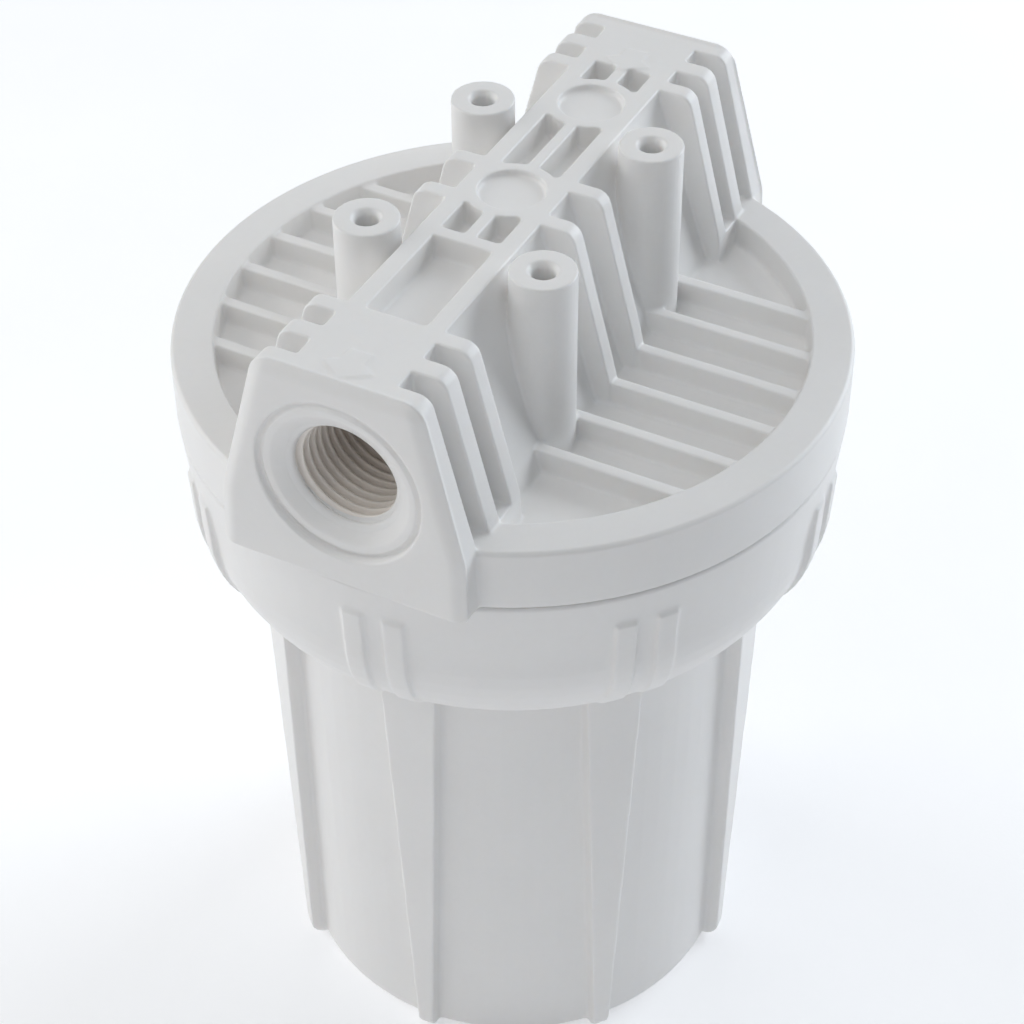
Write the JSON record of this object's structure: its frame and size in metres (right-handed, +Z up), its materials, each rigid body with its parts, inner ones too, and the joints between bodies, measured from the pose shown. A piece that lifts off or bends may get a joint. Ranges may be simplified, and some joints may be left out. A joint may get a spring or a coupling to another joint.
{
  "type": "inline water filter",
  "caption": "Screw-together canister water filter with a ribbed cap, two threaded side ports, a finned sump and a drop-in carbon cartridge.",
  "frame": {"origin": "centre of the underside of the sump, on the axis that the sump screws about", "axes": "+Z up along the sump's axis; the ports lie on the Y axis, outlet towards -Y and inlet towards +Y"},
  "size_m": [0.125, 0.1266, 0.184],
  "materials": {
    "cap_plastic": "satin moulded white polypropylene",
    "sump_plastic": "satin moulded white polypropylene",
    "seal_rubber": "smooth black nitrile rubber",
    "gasket_rubber": "matt black nitrile rubber",
    "end_cap_plastic": "moulded white polypropylene",
    "wrap_felt": "white nonwoven polyolefin felt",
    "carbon": "matt moulded activated carbon",
    "netting_plastic": "white polyethylene net"
  },
  "bodies": {
    "head": {"cap": "cap_plastic"},
    "carriage": {"sump_o_ring": "seal_rubber", "top_gasket": "gasket_rubber", "bottom_gasket": "gasket_rubber", "top_end_cap": "end_cap_plastic", "bottom_end_cap": "end_cap_plastic", "inner_wrap": "wrap_felt", "carbon_block": "carbon", "prefilter_wrap": "wrap_felt", "outer_netting": "netting_plastic"},
    "sump": {"sump": "sump_plastic"}
  },
  "joints": [
    {"name": "sump_travel", "type": "slide", "parent": "head", "child": "carriage", "axis": [0, 0, -1], "range_m": [0, 0.0226]},
    {"name": "sump_turn", "type": "hinge", "parent": "carriage", "child": "sump", "pos_m": [0, 0, 0], "axis": [0, 0, -1], "range_deg": [0, 1350]}
  ],
  "couplings": [
    {"joint": "sump_travel", "follows": "sump_turn", "m_per_rad": 0.00095493}
  ]
}
